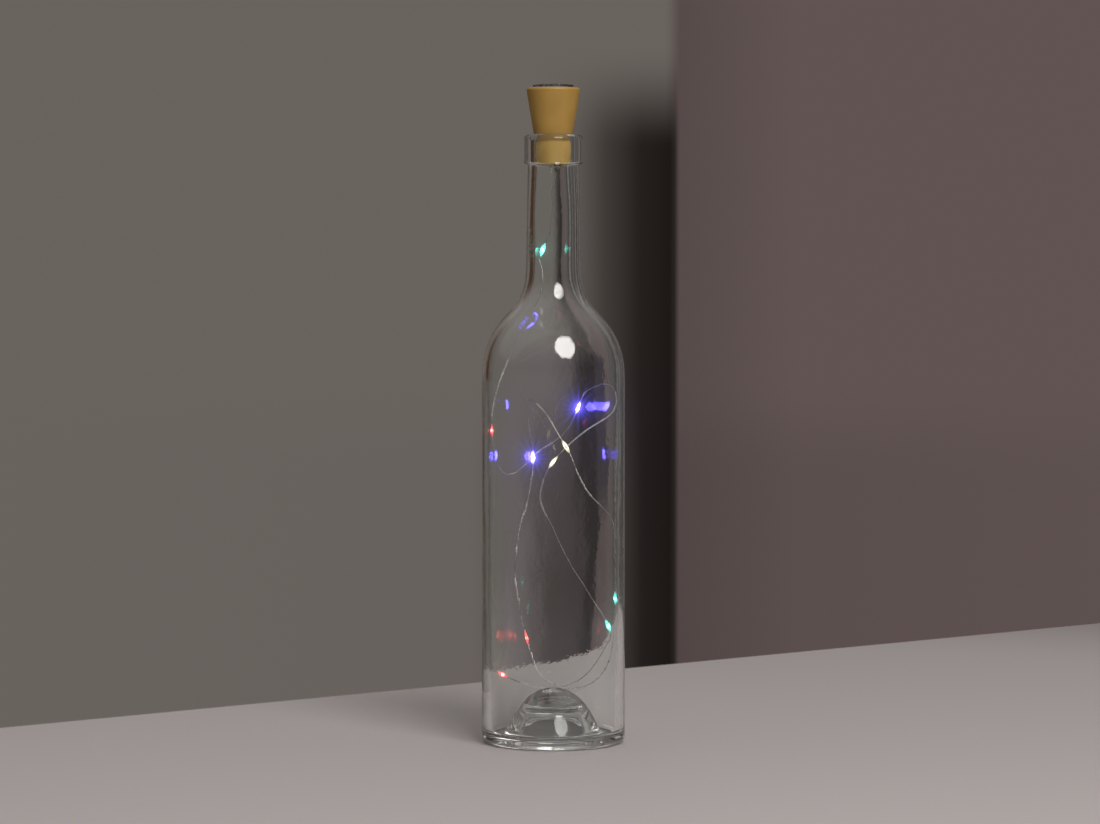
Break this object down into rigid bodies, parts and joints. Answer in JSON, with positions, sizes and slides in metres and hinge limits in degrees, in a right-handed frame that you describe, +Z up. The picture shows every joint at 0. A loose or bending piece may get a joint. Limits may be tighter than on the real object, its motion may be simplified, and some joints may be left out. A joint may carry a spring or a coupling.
{
  "type": "cork bottle light",
  "caption": "Clear glass wine bottle closed by a cork-shaped solar stopper that pulls out, with a thin wire of coloured resin-drop lamps lying loose inside.",
  "frame": {"origin": "middle of the bottle's footprint, on the surface that it stands on", "axes": "+Z up along the bottle's axis; -Y is the side that the picture is taken from; +X to the right there"},
  "size_m": [0.0745, 0.0744, 0.341],
  "materials": {
    "clear_glass": "clear flint glass, fire polished",
    "cork_plastic": "satin moulded plastic, cork colour",
    "clear_vinyl": "clear soft plastic",
    "foam_tape": "closed-cell foam",
    "panel_laminate": "black laminate",
    "silicon": "dark blue silicon",
    "tinned_ribbon": "bright tin",
    "clear_resin": "poured clear resin",
    "board_laminate": "green solder mask",
    "chip_black": "moulded epoxy",
    "ferrite": "sintered ferrite",
    "copper": "enamelled copper",
    "nickel": "nickel plate",
    "shrink_sleeve": "heat-shrink film",
    "switch_metal": "tinned shell",
    "slider_black": "moulded nylon",
    "lead_red": "vinyl insulation",
    "lead_black": "vinyl insulation",
    "lead_white": "vinyl insulation",
    "lead_yellow": "vinyl insulation",
    "silver_wire": "silvered, enamelled wire",
    "bead_green": "clear resin, lit green",
    "bead_red": "clear resin, lit red",
    "bead_blue": "clear resin, lit blue",
    "bead_warm": "clear resin, lit warm white",
    "led_chip": "ceramic chip"
  },
  "bodies": {
    "bottle": {"bottle": "clear_glass", "string_wire_neck": "silver_wire", "string_wire_body": "silver_wire", "led_beads_green": "bead_green", "led_beads_red": "bead_red", "led_beads_blue": "bead_blue", "led_beads_warm": "bead_warm", "led_chips": "led_chip"},
    "stopper": {"stopper_cap": "cork_plastic", "plug_shell": "cork_plastic", "plug_end_cap": "cork_plastic", "wire_gland": "clear_vinyl", "panel_seal": "foam_tape", "solar_board": "panel_laminate", "solar_cells": "silicon", "solar_busbars": "tinned_ribbon", "solar_resin": "clear_resin", "control_board": "board_laminate", "driver_chip": "chip_black", "chip_legs": "tinned_ribbon", "inductor_core": "ferrite", "inductor_winding": "copper", "chip_resistors": "chip_black", "battery_cells": "nickel", "battery_sleeve": "shrink_sleeve", "battery_tabs": "nickel", "switch_case": "switch_metal", "switch_terminals": "tinned_ribbon", "panel_lead_red": "lead_red", "panel_lead_black": "lead_black", "battery_lead_red": "lead_red", "battery_lead_black": "lead_black", "string_leads": "lead_white", "switch_leads": "lead_yellow", "string_wire_top": "silver_wire", "led_bead_neck": "bead_green", "led_chip_neck": "led_chip"},
    "switch_slider": {"switch_slider": "slider_black"}
  },
  "joints": [
    {"name": "stopper_pull", "type": "slide", "parent": "bottle", "child": "stopper", "axis": [0, 0, 1], "range_m": [0, 0.025], "deforming": ["string_wire_neck"]},
    {"name": "switch_slide", "type": "slide", "parent": "stopper", "child": "switch_slider", "axis": [1, 0, 0], "range_m": [-0.002, 0]}
  ]
}
